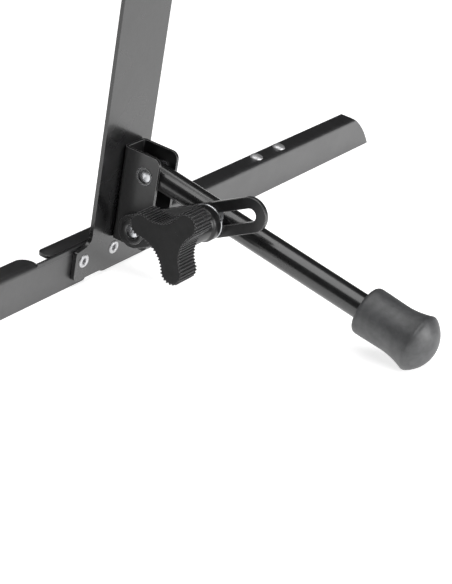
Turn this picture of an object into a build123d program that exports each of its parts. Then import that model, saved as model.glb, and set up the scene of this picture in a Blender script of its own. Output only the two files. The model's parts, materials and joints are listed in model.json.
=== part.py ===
from build123d import *
from math import atan2, cos, degrees, hypot, radians, sin, sqrt
import os

# A folding desktop music stand. A flat steel upright carries two bent ledge arms at its foot and two
# flat arms at its head, each turning on one rivet. Behind it a tube leg swings in a channel bracket
# and a slotted link with a three-lobed clamp knob holds it at the chosen lean.
#
# Everything is drawn square to the desk, which leans back with the stand. Places are given as x along
# the ledge (plus is the player's right), "behind" the upright's rear face (minus is the player's side)
# and "up" the desk from the ledge arms' lower edges. All lengths are in millimetres.

os.makedirs("parts", exist_ok=True)

# Fits
running_fit = 0.05  # radial play of a pin, or the gap between two faces that slide
loose_fit = 0.2  # play where a screw only passes through

# Upright: one flat strip, flared at the foot and at the head
upright_width = 36.0
upright_sheet = 2.0
upright_height = 249.0
foot_rise = 3.3  # the foot's lower edge above the ledge arms' lower edges
foot_width = 57.0
foot_side = 15.1  # straight side of the foot, below its sloping shoulder
head_width = 66.0
head_side = 16.0
shoulder_fall = 2.0  # slope of each shoulder, from the strip out to the side
flare_radius = 4.5
foot_corner = 3.0
head_corner = 7.0
shoulder_corner = 1.5

# Ledge arms: L-sections that stand on the table
arm_sheet = 1.5
arm_height = 20.5
ledge_depth = 8.95
arm_bend = 1.0  # inside the bend
half_span = 249.0  # from the middle of the stand to each outer end
end_run = 22.2  # how far each curved end runs back along the ledge
end_radius = 69.0
rivet_up = 12.9
right_rivet_x = 22.5
left_rivet_x = 0.0
right_inner_end = 6.5  # face beyond the rivet, towards the middle
left_inner_end = 9.5
right_inner_corner = 2.5
left_inner_corner = 8.0
tongue_reach = 44.2  # the left ledge runs on past the middle as a tongue
tongue_setback = 3.05
tongue_corner = 3.0
tongue_gap = 9.1  # from the tongue's tip to where the right ledge starts
right_ledge_corner = 6.0

# Tubular rivets that the ledge arms turn on
rivet_radius = 2.5
rivet_roll_radius = 3.3
rivet_roll = 0.6
rivet_bore = 1.5
rivet_bore_depth = 3.2
rivet_head_radius = 4.6
rivet_head = 1.0
washer_radius = 5.6
washer_sheet = 0.3

# Page holders: a small angle under each ledge, with an arm that swings up in front of the pages
holder_x = 141.0
holder_sheet = 1.2
holder_width = 34.0
holder_drop = 10.4  # the ear's height below the ledge
holder_ear_width = 12.0
holder_ear_corner = 4.0
holder_plate_corner = 1.5
holder_rivet_pitch = 22.0
holder_rivet_ahead = 7.8  # ahead of the upright's rear face
holder_rivet_radius = 1.6
holder_rivet_head_radius = 2.9
holder_rivet_head = 1.3
holder_tail_radius = 2.6
holder_tail = 0.8
page_arm_sheet = 1.2
page_arm_width = 8.0
page_arm_tip_width = 5.0
page_arm_length = 92.0
page_rivet_radius = 2.0
page_rivet_head_radius = 3.4
page_rivet_head = 0.9

# Upper arms
upper_rivet_x = 24.0
upper_rivet_drop = 11.0  # below the head's top edge
upper_arm_width = 18.0
upper_arm_length = 118.0  # from the rivet to the tip
upper_arm_sheet = 1.5
countersink_depth = 1.2  # cut at 90 degrees, so its mouth is this much wider than the hole all round

# Channel bracket that the leg swings in
bracket_x = -4.4
bracket_foot = 19.4
bracket_height = 46.9
bracket_depth = 20.6
bracket_sheet = 1.5
bracket_bend = 0.8
bracket_corner = 3.5

# Leg: a round tube with a rubber foot
tube_diameter = 12.0
tube_wall = 1.2
tube_play = 0.2  # between the tube and each flange of the bracket
leg_pin_behind = 13.3
leg_pin_up = 55.8
leg_droop = 9.26  # degrees below square to the desk
tube_tail = 8.0
tube_length = 142.0  # from the leg pin to the end inside the rubber foot
pin_radius = 4.1
pin_dish = 0.9
pin_dish_bottom = 1.1
pin_chamfer = 0.35

# Rubber foot, measured along the leg
cap_grip = 23.5  # how much of the tube it covers
cap_collar_radius = 11.3
cap_collar_round = 2.5
cap_waist_radius = 11.05
cap_body = 17.0  # from its open end to where the flare begins
cap_flare = 12.9
cap_rim_radius = 13.55
cap_dome = 8.2  # the domed end beyond the rim

# Slotted link
link_pin_behind = 12.8
link_pin_up = 28.0
link_sheet = 2.0
link_width = 16.5
slot_width = 6.2
slot_far = 68.3  # centres of the slot's round ends, measured from the link's pin
slot_near = 41.0
link_edge = 0.25
stake = 0.5  # flare of the staked rivet end in the link
link_rivet_head_radius = 6.0
link_rivet_head = 1.0
link_washer_radius = 7.6

# Clamp screw and knob
clamp_reach = 39.15  # along the leg from the leg pin to the screw
insert_radius = 3.9
insert_flange_radius = 5.4
insert_depth = 2.4  # past the tube's centre line
screw_radius = 3.0
neck_radius = 2.0
screw_travel = 1.5  # how far one and a half turns back the screw out
screw_in_knob = 12.0
clamp_washer_radius = 8.4
clamp_washer_bore = 3.2
clamp_washer_sheet = 1.2
collar_radius = 8.3
collar_length = 4.2
collar_cone = 1.4
hub_radius = 7.2
hub_length = 17.0
knob_thickness = 12.0
lobe_count = 3
lobe_reach = 14.8  # centre of each lobe's round tip
lobe_tip_radius = 4.9
valley_depth_radius = 7.7  # nearest that the valleys come to the axis
lobe_angle = 169.0  # degrees from square behind the desk, towards up
rib_count = 48
rib_height = 0.7
rib_foot = 1.5
rib_crest = 0.5

# Places that follow from the sizes above
arm_back = upright_sheet + washer_sheet + running_fit  # the ledge arms' rear face, ahead of the desk
arm_front = arm_back + arm_sheet
ledge_front = arm_back + ledge_depth
ledge_under = arm_height - arm_sheet
right_ledge_start = tongue_reach + tongue_gap
head_top = foot_rise + upright_height
upper_rivet_up = head_top - upper_rivet_drop
upper_arm_back = washer_sheet + running_fit
tube_radius = tube_diameter / 2
flange_inner = tube_radius + tube_play
flange_outer = flange_inner + bracket_sheet
link_inner_x = bracket_x + flange_outer + washer_sheet + running_fit
link_outer_x = link_inner_x + link_sheet
clamp_washer_x = link_outer_x + running_fit
hub_x = clamp_washer_x + clamp_washer_sheet + running_fit
lobes_x = hub_x + hub_length
knob_face_x = lobes_x + knob_thickness
holder_front = ledge_front + holder_sheet + running_fit
holder_back = arm_front + arm_bend
page_arm_back = holder_front + running_fit
page_arm_front = page_arm_back + page_arm_sheet
holder_pivot_up = ledge_under - holder_sheet - (holder_drop - holder_sheet) / 2
page_rivet_front = page_arm_front + running_fit + page_rivet_head
cap_start = tube_length - cap_grip
cap_rim_at = cap_start + cap_body + cap_flare
droop = radians(leg_droop)
screw_behind = leg_pin_behind + clamp_reach * cos(droop)
screw_up = leg_pin_up - clamp_reach * sin(droop)
link_angle = degrees(atan2(screw_up - link_pin_up, screw_behind - link_pin_behind))

# The stand rests on the ledge arms' lower rear edges and on the rim of the rubber foot, and the line
# between them is the table: that gives the lean.
rim_low_behind = leg_pin_behind + cap_rim_at * cos(droop) - cap_rim_radius * sin(droop)
rim_low_up = leg_pin_up - cap_rim_at * sin(droop) - cap_rim_radius * cos(droop)
lean = atan2(rim_low_up, rim_low_behind + arm_back)

# The origin is on the table, midway between the page holders' rivet heads and the rubber foot's dome.
dome_radius = (cap_rim_radius**2 + cap_dome**2) / (2 * cap_dome)
dome_at = cap_rim_at + cap_dome - dome_radius
dome_behind = leg_pin_behind + dome_at * cos(droop)
dome_up = leg_pin_up - dome_at * sin(droop)
rear_y = dome_behind * cos(lean) + dome_up * sin(lean) + dome_radius
front_y = (holder_pivot_up - page_rivet_head_radius) * sin(lean) - page_rivet_front * cos(lean)
desk = Plane(
    origin=(0, -(rear_y + front_y) / 2, -arm_back * sin(lean)),
    x_dir=(1, 0, 0),
    z_dir=(0, sin(lean), cos(lean)),
)


def desk_point(x, behind, up):
    return desk.from_local_coords(Vector(x, behind, up))


def front_plane(behind, x=0.0, up=0.0):
    # Parallel to the desk, seen from the player: across is x, and the normal points at the player.
    return Plane(origin=desk_point(x, behind, up), x_dir=desk.x_dir, z_dir=-desk.y_dir)


def side_plane(x, behind=0.0, up=0.0, turned=0.0):
    # Across is behind the desk, up is up the desk, the normal is +x; turned in degrees from behind to up.
    across = desk.y_dir * cos(radians(turned)) + desk.z_dir * sin(radians(turned))
    return Plane(origin=desk_point(x, behind, up), x_dir=across, z_dir=desk.x_dir)


def level_plane(up, x=0.0, behind=0.0):
    # Square to the desk: across is x, up the page is behind the desk, the normal points up the desk.
    return Plane(origin=desk_point(x, behind, up), x_dir=desk.x_dir, z_dir=desk.z_dir)


def leg_plane(along, x=bracket_x):
    # Across runs along the leg from a point on its centre line, the normal is +x.
    behind = leg_pin_behind + along * cos(droop)
    up = leg_pin_up - along * sin(droop)
    return side_plane(x, behind, up, -leg_droop)


def across_leg(along):
    # Square to the leg, with the normal running down the leg.
    at = leg_plane(along)
    return Plane(origin=at.origin, x_dir=desk.x_dir, z_dir=at.x_dir)


def nearest_edges(part, points):
    # One edge for each point: the edge whose middle lies nearest to it.
    return [part.edges().sort_by_distance(point)[0] for point in points]


# Upright
with BuildPart() as upright:
    with BuildSketch(front_plane(0)):
        with BuildLine():
            FilletPolyline(
                (0, foot_rise),
                (foot_width / 2, foot_rise),
                (foot_width / 2, foot_rise + foot_side),
                (upright_width / 2, foot_rise + foot_side + shoulder_fall),
                (upright_width / 2, head_top - head_side - shoulder_fall),
                (head_width / 2, head_top - head_side),
                (head_width / 2, head_top),
                (0, head_top),
                radius=[
                    foot_corner,
                    shoulder_corner,
                    flare_radius,
                    flare_radius,
                    shoulder_corner,
                    head_corner,
                ],
            )
            mirror(about=Plane.YZ)
        make_face()
        with Locations((left_rivet_x, rivet_up), (right_rivet_x, rivet_up)):
            Circle(rivet_radius, mode=Mode.SUBTRACT)
    extrude(amount=upright_sheet)
    with Locations(
        front_plane(-upright_sheet, -upper_rivet_x, upper_rivet_up),
        front_plane(-upright_sheet, upper_rivet_x, upper_rivet_up),
    ):
        CounterSinkHole(rivet_radius, rivet_radius + countersink_depth, counter_sink_angle=90)
upright.part.label = "upright"
export_step(upright.part, "parts/upright.step")

# Channel bracket: the web lies on the upright and the flanges hold the leg pin and the link's rivet
with BuildPart() as hinge_bracket:
    with BuildSketch(level_plane(bracket_foot, x=bracket_x)):
        with BuildLine():
            FilletPolyline(
                (-flange_outer, bracket_depth),
                (-flange_outer, 0),
                (flange_outer, 0),
                (flange_outer, bracket_depth),
                radius=bracket_bend + bracket_sheet,
            )
            Line((flange_outer, bracket_depth), (flange_inner, bracket_depth))
            FilletPolyline(
                (flange_inner, bracket_depth),
                (flange_inner, bracket_sheet),
                (-flange_inner, bracket_sheet),
                (-flange_inner, bracket_depth),
                radius=bracket_bend,
            )
            Line((-flange_inner, bracket_depth), (-flange_outer, bracket_depth))
        make_face()
    extrude(amount=bracket_height)
    flange_middle = flange_inner + bracket_sheet / 2
    corners = [
        desk_point(bracket_x + side * flange_middle, bracket_depth, up)
        for side in (-1, 1)
        for up in (bracket_foot, bracket_foot + bracket_height)
    ]
    fillet(nearest_edges(hinge_bracket, corners), bracket_corner)
    with BuildSketch(side_plane(bracket_x + flange_outer, leg_pin_behind, leg_pin_up)):
        Circle(pin_radius)
    extrude(amount=-2 * flange_outer, mode=Mode.SUBTRACT)
    with BuildSketch(side_plane(bracket_x + flange_outer, link_pin_behind, link_pin_up)):
        Circle(pin_radius)
    extrude(amount=-bracket_sheet - tube_play, mode=Mode.SUBTRACT)
    pin_mouths = [
        desk_point(bracket_x + side * flange_outer, leg_pin_behind, leg_pin_up + pin_radius)
        for side in (-1, 1)
    ]
    rims = hinge_bracket.edges().filter_by(GeomType.CIRCLE)
    chamfer([rims.sort_by_distance(point)[0] for point in pin_mouths], pin_chamfer)
hinge_bracket.part.label = "hinge_bracket"
export_step(hinge_bracket.part, "parts/hinge_bracket.step")

# Leg pin, flush with the bracket and dished at both ends
with BuildPart() as leg_pin:
    with BuildSketch(level_plane(leg_pin_up, x=bracket_x, behind=leg_pin_behind)):
        with BuildLine():
            Polyline(
                (-flange_outer + pin_dish, 0),
                (-flange_outer + pin_dish, pin_dish_bottom),
                (-flange_outer, pin_radius - pin_chamfer),
                (-flange_outer, pin_radius),
                (flange_outer, pin_radius),
                (flange_outer, pin_radius - pin_chamfer),
                (flange_outer - pin_dish, pin_dish_bottom),
                (flange_outer - pin_dish, 0),
                (-flange_outer + pin_dish, 0),
            )
        make_face()
    revolve(axis=Axis(desk_point(0, leg_pin_behind, leg_pin_up), desk.x_dir))
leg_pin.part.label = "leg_pin"
export_step(leg_pin.part, "parts/leg_pin.step")

# Rivet that the link turns on: a flat head inside the bracket, a staked and dished end in the link
with BuildPart() as link_rivet:
    with BuildSketch(level_plane(link_pin_up, behind=link_pin_behind)):
        with BuildLine():
            Polyline(
                (bracket_x + flange_inner - link_rivet_head, 0),
                (bracket_x + flange_inner - link_rivet_head, link_rivet_head_radius),
                (bracket_x + flange_inner, link_rivet_head_radius),
                (bracket_x + flange_inner, pin_radius),
                (link_outer_x - stake, pin_radius),
                (link_outer_x, pin_radius + stake),
                (link_outer_x, pin_radius - pin_chamfer),
                (link_outer_x - pin_dish, pin_dish_bottom),
                (link_outer_x - pin_dish, 0),
                (bracket_x + flange_inner - link_rivet_head, 0),
            )
        make_face()
    revolve(axis=Axis(desk_point(0, link_pin_behind, link_pin_up), desk.x_dir))
link_rivet.part.label = "link_rivet"
export_step(link_rivet.part, "parts/link_rivet.step")

with BuildPart() as link_washer:
    with BuildSketch(side_plane(bracket_x + flange_outer, link_pin_behind, link_pin_up)):
        Circle(link_washer_radius)
        Circle(pin_radius + running_fit, mode=Mode.SUBTRACT)
    extrude(amount=washer_sheet)
link_washer.part.label = "link_washer"
export_step(link_washer.part, "parts/link_washer.step")

# Slotted link, drawn along its own length from its pin
with BuildPart() as slotted_link:
    with BuildSketch(side_plane(link_inner_x, link_pin_behind, link_pin_up, link_angle)):
        with Locations((slot_far / 2, 0)):
            SlotCenterToCenter(slot_far, link_width)
        with Locations(((slot_near + slot_far) / 2, 0)):
            SlotCenterToCenter(slot_far - slot_near, slot_width, mode=Mode.SUBTRACT)
        Circle(pin_radius + running_fit, mode=Mode.SUBTRACT)
    extrude(amount=link_sheet)
    outer_edges = slotted_link.faces().sort_by(Axis.X)[-1].edges()
    eye = outer_edges.sort_by_distance(desk_point(link_outer_x, link_pin_behind, link_pin_up))[0]
    chamfer(eye, stake)
    rounded = slotted_link.faces().sort_by(Axis.X)[-1].outer_wire().edges()
    chamfer(rounded, link_edge)
slotted_link.part.label = "slotted_link"
export_step(slotted_link.part, "parts/slotted_link.step")

# Leg tube, cross-drilled for the leg pin and drilled on one side for the clamp insert
with BuildPart() as leg_tube:
    with BuildSketch(across_leg(-tube_tail)):
        Circle(tube_radius)
        Circle(tube_radius - tube_wall, mode=Mode.SUBTRACT)
    extrude(amount=tube_tail + tube_length)
    with BuildSketch(leg_plane(0)):
        Circle(pin_radius + running_fit)
    extrude(amount=tube_diameter, both=True, mode=Mode.SUBTRACT)
    with BuildSketch(leg_plane(clamp_reach)):
        Circle(insert_radius)
    extrude(amount=tube_diameter, mode=Mode.SUBTRACT)
leg_tube.part.label = "leg_tube"
export_step(leg_tube.part, "parts/leg_tube.step")

# Rubber foot: rounded collar, slight waist, flared rim and domed end, pushed over the tube
with BuildPart() as leg_end_cap:
    with BuildSketch(leg_plane(0)):
        with BuildLine():
            FilletPolyline(
                (cap_start, tube_radius),
                (cap_start, cap_collar_radius),
                (cap_start + 2 * cap_collar_round, cap_collar_radius),
                radius=cap_collar_round,
            )
            Line(
                (cap_start + 2 * cap_collar_round, cap_collar_radius),
                (cap_start + cap_body, cap_waist_radius),
            )
            TangentArc(
                (cap_start + cap_body, cap_waist_radius),
                (cap_rim_at, cap_rim_radius),
                tangent=(1, 0),
            )
            ThreePointArc(
                (cap_rim_at, cap_rim_radius),
                (dome_at + dome_radius * cos(0.5), dome_radius * sin(0.5)),
                (cap_rim_at + cap_dome, 0),
            )
            Polyline(
                (cap_rim_at + cap_dome, 0),
                (tube_length, 0),
                (tube_length, tube_radius),
                (cap_start, tube_radius),
            )
        make_face()
    revolve(axis=Axis(leg_plane(0).origin, leg_plane(0).x_dir))
leg_end_cap.part.label = "leg_end_cap"
export_step(leg_end_cap.part, "parts/leg_end_cap.step")

# Threaded insert in the tube, with a flange saddled over the tube and faced flat for the link
with BuildPart() as clamp_insert:
    with BuildSketch(leg_plane(clamp_reach)):
        Circle(insert_flange_radius)
    extrude(amount=link_inner_x - running_fit - bracket_x)
    with BuildSketch(across_leg(clamp_reach - tube_diameter)):
        Circle(tube_radius)
    extrude(amount=2 * tube_diameter, mode=Mode.SUBTRACT)
    with BuildSketch(leg_plane(clamp_reach, bracket_x - insert_depth)):
        Circle(insert_radius)
    extrude(amount=insert_depth + link_inner_x - running_fit - bracket_x)
    with BuildSketch(leg_plane(clamp_reach, bracket_x - insert_depth)):
        Circle(screw_radius + running_fit)
    extrude(amount=insert_depth + link_inner_x - bracket_x, mode=Mode.SUBTRACT)
clamp_insert.part.label = "clamp_insert"
export_step(clamp_insert.part, "parts/clamp_insert.step")

# Clamp screw: threaded end in the insert, slim neck through the slot, other end moulded into the knob
neck_start_x = link_inner_x - running_fit - screw_travel - loose_fit
neck_end_x = hub_x + loose_fit
with BuildPart() as clamp_screw:
    with BuildSketch(leg_plane(clamp_reach, bracket_x - insert_depth)):
        Circle(screw_radius)
    extrude(amount=neck_start_x - bracket_x + insert_depth)
    with BuildSketch(leg_plane(clamp_reach, neck_start_x)):
        Circle(neck_radius)
    extrude(amount=neck_end_x - neck_start_x)
    with BuildSketch(leg_plane(clamp_reach, neck_end_x)):
        Circle(screw_radius)
    extrude(amount=screw_in_knob)
clamp_screw.part.label = "clamp_screw"
export_step(clamp_screw.part, "parts/clamp_screw.step")

with BuildPart() as clamp_washer:
    with BuildSketch(leg_plane(clamp_reach, clamp_washer_x)):
        Circle(clamp_washer_radius)
        Circle(clamp_washer_bore, mode=Mode.SUBTRACT)
    extrude(amount=clamp_washer_sheet)
    chamfer(clamp_washer.edges().filter_by(GeomType.CIRCLE).sort_by(SortBy.RADIUS)[-2:], link_edge)
clamp_washer.part.label = "clamp_washer"
export_step(clamp_washer.part, "parts/clamp_washer.step")

# Knob: a stepped hub and three lobes with ribbed sides. Each valley is an arc tangent to both lobe
# tips beside it; its radius follows from the lobes' reach and the valley's depth.
half_turn = radians(180 / lobe_count)
valley_gap = valley_depth_radius - lobe_reach * cos(half_turn)
valley_radius = (
    (lobe_reach * sin(half_turn)) ** 2 + valley_gap**2 - lobe_tip_radius**2
) / (2 * (lobe_tip_radius - valley_gap))
valley_reach = valley_depth_radius + valley_radius
knob_plane = side_plane(lobes_x, screw_behind, screw_up, lobe_angle)
with BuildPart() as clamp_knob:
    with BuildSketch(knob_plane) as lobes:
        with BuildLine():
            for lobe in range(lobe_count):
                middle = 2 * half_turn * lobe
                tip = Vector(lobe_reach * cos(middle), lobe_reach * sin(middle))
                before = Vector(cos(middle - half_turn), sin(middle - half_turn))
                after = Vector(cos(middle + half_turn), sin(middle + half_turn))
                following = tip.rotate(Axis.Z, degrees(2 * half_turn))
                leave = tip + (after * valley_reach - tip).normalized() * lobe_tip_radius
                ThreePointArc(
                    tip + (before * valley_reach - tip).normalized() * lobe_tip_radius,
                    tip + tip.normalized() * lobe_tip_radius,
                    leave,
                )
                ThreePointArc(
                    leave,
                    after * valley_depth_radius,
                    following + (after * valley_reach - following).normalized() * lobe_tip_radius,
                )
        make_face()
    extrude(amount=knob_thickness)
    walls = lobes.sketch_local.face().outer_wire()
    with BuildSketch(knob_plane):
        for rib in range(rib_count):
            share = (rib + 0.5) / rib_count
            outward = walls.tangent_angle_at(share) - 90
            with Locations(Location(walls.position_at(share), (0, 0, outward))):
                Polygon(
                    (-rib_height, -rib_foot / 2),
                    (0, -rib_foot / 2),
                    (rib_height, -rib_crest / 2),
                    (rib_height, rib_crest / 2),
                    (0, rib_foot / 2),
                    (-rib_height, rib_foot / 2),
                    align=None,
                )
    extrude(amount=knob_thickness)
    with BuildSketch(level_plane(screw_up, behind=screw_behind)):
        with BuildLine():
            Polyline(
                (hub_x, 0),
                (hub_x, collar_radius),
                (hub_x + collar_length, collar_radius),
                (hub_x + collar_length + collar_cone, hub_radius),
                (lobes_x + knob_thickness / 2, hub_radius),
                (lobes_x + knob_thickness / 2, 0),
                (hub_x, 0),
            )
        make_face()
    revolve(axis=Axis(desk_point(0, screw_behind, screw_up), desk.x_dir))
    with BuildSketch(leg_plane(clamp_reach, hub_x)):
        Circle(screw_radius)
    extrude(amount=neck_end_x - hub_x + screw_in_knob, mode=Mode.SUBTRACT)
clamp_knob.part.label = "clamp_knob"
export_step(clamp_knob.part, "parts/clamp_knob.step")

# Tubular rivets of the ledge arms: a plain head at the front and a rolled, hollow end at the back
for name, rivet_x in (("ledge_rivet_left", left_rivet_x), ("ledge_rivet_right", right_rivet_x)):
    head_back = -arm_front - running_fit
    with BuildPart() as ledge_rivet:
        with BuildSketch(side_plane(rivet_x, up=rivet_up)):
            with BuildLine():
                Polyline(
                    (head_back - rivet_head, 0),
                    (head_back - rivet_head, rivet_head_radius - rivet_head / 2),
                    (head_back - rivet_head / 2, rivet_head_radius),
                    (head_back, rivet_head_radius),
                    (head_back, rivet_radius),
                    (0, rivet_radius),
                    (0, rivet_roll_radius),
                    (rivet_roll / 2, rivet_roll_radius),
                    (rivet_roll, rivet_roll_radius - rivet_roll / 2),
                    (rivet_roll, rivet_bore + rivet_roll / 2),
                    (rivet_roll / 2, rivet_bore),
                    (-rivet_bore_depth, rivet_bore),
                    (-rivet_bore_depth, 0),
                    (head_back - rivet_head, 0),
                )
            make_face()
        revolve(axis=Axis(desk_point(rivet_x, 0, rivet_up), desk.y_dir))
    ledge_rivet.part.label = name
    export_step(ledge_rivet.part, f"parts/{name}.step")

for name, rivet_x in (("ledge_washer_left", left_rivet_x), ("ledge_washer_right", right_rivet_x)):
    with BuildPart() as ledge_washer:
        with BuildSketch(front_plane(-upright_sheet, rivet_x, rivet_up)):
            Circle(washer_radius)
            Circle(rivet_radius, mode=Mode.SUBTRACT)
        extrude(amount=washer_sheet)
    ledge_washer.part.label = name
    export_step(ledge_washer.part, f"parts/{name}.step")

# Ledge arms: each one is a bent L, cut to its curved outer end and to its own inner end
for name, side, rivet_x, face_end, face_corner in (
    ("ledge_arm_left", -1, left_rivet_x, left_rivet_x + left_inner_end, left_inner_corner),
    ("ledge_arm_right", 1, right_rivet_x, right_rivet_x - right_inner_end, right_inner_corner),
):
    inner_x = tongue_reach if side < 0 else face_end
    with BuildPart() as ledge_arm:
        with BuildSketch(side_plane(inner_x)):
            with BuildLine():
                FilletPolyline(
                    (-arm_back, 0),
                    (-arm_back, arm_height),
                    (-ledge_front, arm_height),
                    radius=arm_bend + arm_sheet,
                )
                Line((-ledge_front, arm_height), (-ledge_front, ledge_under))
                FilletPolyline(
                    (-ledge_front, ledge_under),
                    (-arm_front, ledge_under),
                    (-arm_front, 0),
                    radius=arm_bend,
                )
                Line((-arm_front, 0), (-arm_back, 0))
            make_face()
        extrude(amount=side * half_span - inner_x)
        # Curved outer end: the face runs out to its lower corner
        with BuildSketch(front_plane(0)):
            end_x = side * half_span
            back_x = side * (half_span - end_run)
            chord = hypot(end_run, arm_height)
            bulge = end_radius - sqrt(end_radius**2 - chord**2 / 4)
            swell = Vector(side * arm_height, end_run).normalized() * bulge
            with BuildLine():
                ThreePointArc(
                    (end_x, 0),
                    Vector((end_x + back_x) / 2, arm_height / 2) + swell,
                    (back_x, arm_height),
                )
                Polyline(
                    (back_x, arm_height),
                    (back_x, arm_height + 1),
                    (end_x + side, arm_height + 1),
                    (end_x + side, 0),
                    (end_x, 0),
                )
            make_face()
        extrude(amount=arm_front, mode=Mode.SUBTRACT)
        with BuildSketch(front_plane(-arm_front)):
            with Locations((end_x - side * end_run / 2, arm_height / 2)):
                Rectangle(end_run, arm_height + 2)
        extrude(amount=ledge_depth, mode=Mode.SUBTRACT)
        # Inner end: one arm keeps its ledge as a tongue past the middle, the other starts it later
        if side < 0:
            with BuildSketch(level_plane(0)):
                with Locations(((face_end + tongue_reach) / 2, -(arm_back + tongue_setback) / 2)):
                    Rectangle(tongue_reach - face_end, arm_back + tongue_setback)
            extrude(amount=arm_height, mode=Mode.SUBTRACT)
            tip = desk_point(tongue_reach, -ledge_front, ledge_under + arm_sheet / 2)
            fillet(nearest_edges(ledge_arm, [tip]), tongue_corner)
        else:
            with BuildSketch(level_plane(ledge_under - arm_bend)):
                with Locations(((face_end + right_ledge_start) / 2, -ledge_front / 2)):
                    Rectangle(right_ledge_start - face_end, ledge_front)
            extrude(amount=arm_height, mode=Mode.SUBTRACT)
            tip = desk_point(right_ledge_start, -ledge_front, ledge_under + arm_sheet / 2)
            fillet(nearest_edges(ledge_arm, [tip]), right_ledge_corner)
        heel = desk_point(face_end, -(arm_back + arm_front) / 2, 0)
        fillet(nearest_edges(ledge_arm, [heel]), face_corner)
        with BuildSketch(front_plane(0, rivet_x, rivet_up)):
            Circle(rivet_radius + running_fit)
        extrude(amount=arm_front, mode=Mode.SUBTRACT)
        with BuildSketch(level_plane(ledge_under, side * holder_x, -holder_rivet_ahead)):
            with GridLocations(holder_rivet_pitch, 0, 2, 1):
                Circle(holder_rivet_radius)
        extrude(amount=arm_sheet, mode=Mode.SUBTRACT)
    ledge_arm.part.label = name
    export_step(ledge_arm.part, f"parts/{name}.step")

# Page holders: an angle riveted under the ledge, its two rivets, and the swinging arm on its pivot
for ending, side in (("left", -1), ("right", 1)):
    with BuildPart() as page_bracket:
        with BuildSketch(side_plane(side * holder_x - holder_ear_width / 2)):
            with BuildLine():
                FilletPolyline(
                    (-holder_back, ledge_under),
                    (-holder_front, ledge_under),
                    (-holder_front, ledge_under - holder_drop),
                    radius=2 * holder_sheet,
                )
                Line(
                    (-holder_front, ledge_under - holder_drop),
                    (-holder_front + holder_sheet, ledge_under - holder_drop),
                )
                FilletPolyline(
                    (-holder_front + holder_sheet, ledge_under - holder_drop),
                    (-holder_front + holder_sheet, ledge_under - holder_sheet),
                    (-holder_back, ledge_under - holder_sheet),
                    radius=holder_sheet,
                )
                Line((-holder_back, ledge_under - holder_sheet), (-holder_back, ledge_under))
            make_face()
        extrude(amount=holder_ear_width)
        ear_corners = [
            desk_point(
                side * holder_x + across * holder_ear_width / 2,
                -holder_front + holder_sheet / 2,
                ledge_under - holder_drop,
            )
            for across in (-1, 1)
        ]
        fillet(nearest_edges(page_bracket, ear_corners), holder_ear_corner)
        with BuildSketch(level_plane(ledge_under, side * holder_x, -holder_rivet_ahead)):
            RectangleRounded(holder_width, 2 * (holder_rivet_ahead - holder_back), holder_plate_corner)
            with GridLocations(holder_rivet_pitch, 0, 2, 1):
                Circle(holder_rivet_radius, mode=Mode.SUBTRACT)
        extrude(amount=-holder_sheet)
        with BuildSketch(front_plane(0, side * holder_x, holder_pivot_up)):
            Circle(page_rivet_radius)
        extrude(amount=holder_front, mode=Mode.SUBTRACT)
    page_bracket.part.label = f"page_bracket_{ending}"
    export_step(page_bracket.part, f"parts/page_bracket_{ending}.step")

    with BuildPart() as page_bracket_rivets:
        for rivet_x in (
            side * holder_x - holder_rivet_pitch / 2,
            side * holder_x + holder_rivet_pitch / 2,
        ):
            with BuildSketch(side_plane(rivet_x, -holder_rivet_ahead)):
                with BuildLine():
                    Polyline(
                        (0, arm_height + holder_rivet_head),
                        (holder_rivet_head_radius * 0.45, arm_height + holder_rivet_head),
                        (holder_rivet_head_radius * 0.85, arm_height + holder_rivet_head * 0.6),
                        (holder_rivet_head_radius, arm_height),
                        (holder_rivet_radius, arm_height),
                        (holder_rivet_radius, ledge_under - holder_sheet),
                        (holder_tail_radius, ledge_under - holder_sheet),
                        (holder_tail_radius - 0.4, ledge_under - holder_sheet - holder_tail),
                        (0, ledge_under - holder_sheet - holder_tail),
                        (0, arm_height + holder_rivet_head),
                    )
                make_face()
            revolve(axis=Axis(desk_point(rivet_x, -holder_rivet_ahead, 0), desk.z_dir))
    page_bracket_rivets.part.label = f"page_bracket_rivets_{ending}"
    export_step(page_bracket_rivets.part, f"parts/page_bracket_rivets_{ending}.step")

    with BuildPart() as page_pivot:
        ear_back = -holder_front + holder_sheet
        with BuildSketch(side_plane(side * holder_x, up=holder_pivot_up)):
            with BuildLine():
                Polyline(
                    (ear_back + page_rivet_head, 0),
                    (ear_back + page_rivet_head, page_rivet_radius),
                    (ear_back, page_rivet_head_radius),
                    (ear_back, page_rivet_radius),
                    (-page_arm_front - running_fit, page_rivet_radius),
                    (-page_arm_front - running_fit, page_rivet_head_radius),
                    (-page_rivet_front + page_rivet_head / 2, page_rivet_head_radius),
                    (-page_rivet_front, page_rivet_head_radius - page_rivet_head / 2),
                    (-page_rivet_front, 0),
                    (ear_back + page_rivet_head, 0),
                )
            make_face()
        revolve(axis=Axis(desk_point(side * holder_x, 0, holder_pivot_up), desk.y_dir))
    page_pivot.part.label = f"page_pivot_{ending}"
    export_step(page_pivot.part, f"parts/page_pivot_{ending}.step")

    with BuildPart() as page_arm:
        with BuildSketch(front_plane(-page_arm_back, side * holder_x, holder_pivot_up)):
            Circle(page_arm_width / 2)
            with Locations((-side * (page_arm_length - page_arm_tip_width / 2), 0)):
                Circle(page_arm_tip_width / 2)
            make_hull()
            Circle(page_rivet_radius + running_fit, mode=Mode.SUBTRACT)
        extrude(amount=page_arm_sheet)
    page_arm.part.label = f"page_arm_{ending}"
    export_step(page_arm.part, f"parts/page_arm_{ending}.step")

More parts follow.
